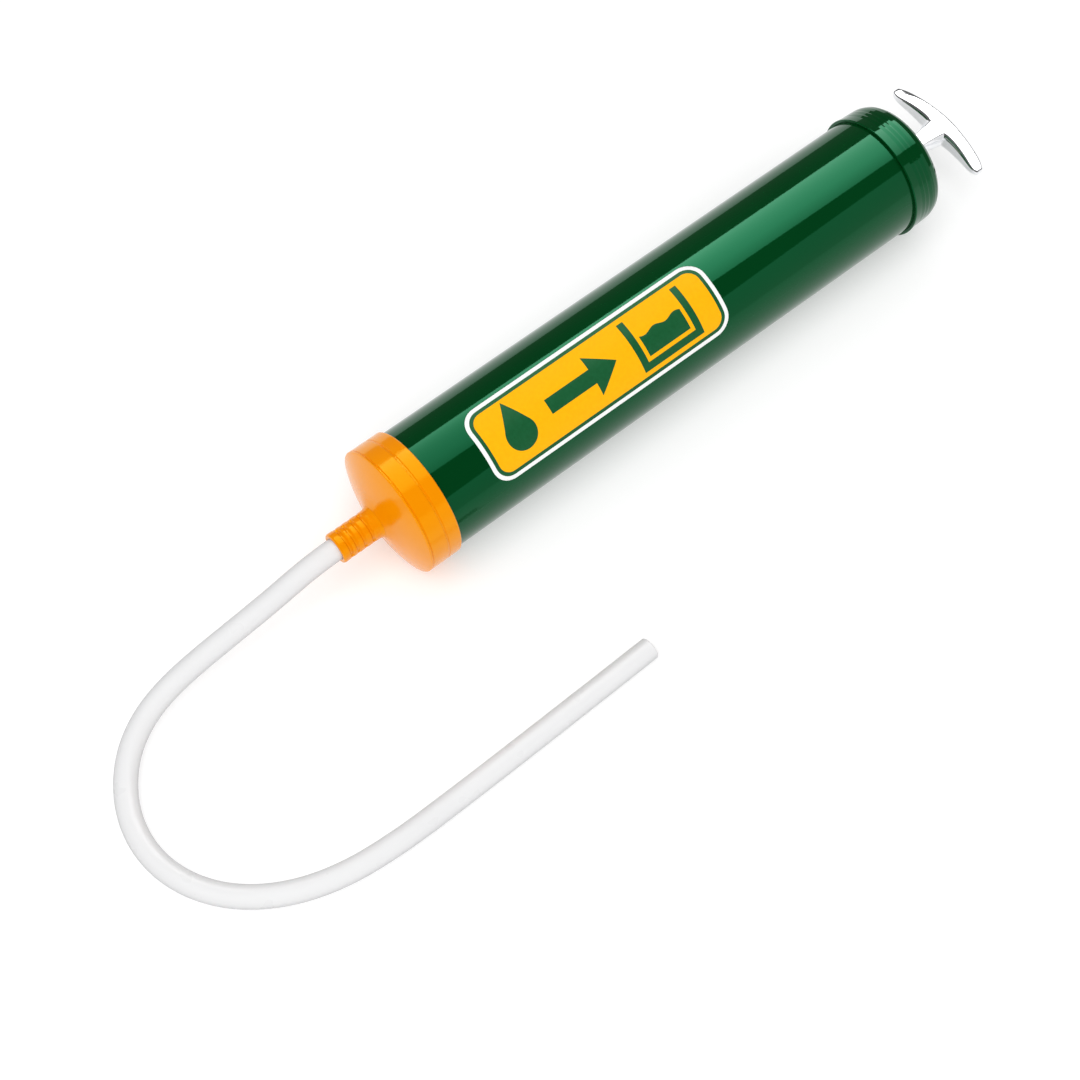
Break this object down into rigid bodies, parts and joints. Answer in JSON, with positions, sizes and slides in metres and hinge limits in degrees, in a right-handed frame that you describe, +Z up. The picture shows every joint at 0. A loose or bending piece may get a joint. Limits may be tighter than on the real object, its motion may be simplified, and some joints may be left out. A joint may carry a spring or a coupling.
{
  "type": "fluid transfer pump",
  "caption": "Hand oil suction gun: painted steel barrel, screwed nose cap with ribbed collar and flexible hose, screwed rear cap, and a sliding plunger rod with a chrome T-handle.",
  "frame": {"origin": "middle of the footprint of the pump without its hose, on the surface it lies on", "axes": "+X along the barrel axis towards the T-handle, +Z up from the surface it lies on, the hose leaves towards -X and lies on the -Y side"},
  "size_m": [0.4911, 0.1455, 0.06],
  "materials": {
    "green_paint": "gloss",
    "orange_paint": "gloss",
    "chrome": "polished",
    "zinc": "satin",
    "brass": "satin",
    "hose_clear": "gloss",
    "rubber": "matte",
    "nylon": "satin",
    "felt": "matte",
    "label_film": "gloss"
  },
  "bodies": {
    "barrel": {"barrel_tube": "green_paint", "nose_cap": "orange_paint", "nose_gasket": "rubber", "barb_washer": "rubber", "hose_barb": "brass", "hose_ferrule": "orange_paint", "hose": "hose_clear", "rear_cap": "green_paint", "rod_bush": "nylon", "rod_wiper": "felt", "wiper_washer": "zinc", "label_film": "label_film"},
    "piston": {"cup_plate_front": "zinc", "piston_cup_front": "rubber", "piston_spacer": "nylon", "piston_cup_rear": "rubber", "cup_plate_rear": "zinc"},
    "plunger": {"plunger_rod": "chrome", "front_nut": "zinc", "lock_washer": "zinc", "rear_nut": "zinc", "handle_nut": "zinc", "t_handle": "chrome"}
  },
  "joints": [
    {"name": "plunger_slide", "type": "slide", "parent": "barrel", "child": "piston", "axis": [1, 0, 0], "range_m": [0, 0.225]},
    {"name": "handle_spin", "type": "hinge", "parent": "piston", "child": "plunger", "pos_m": [0.16, 0, 0.03], "axis": [1, 0, 0], "continuous": true}
  ]
}
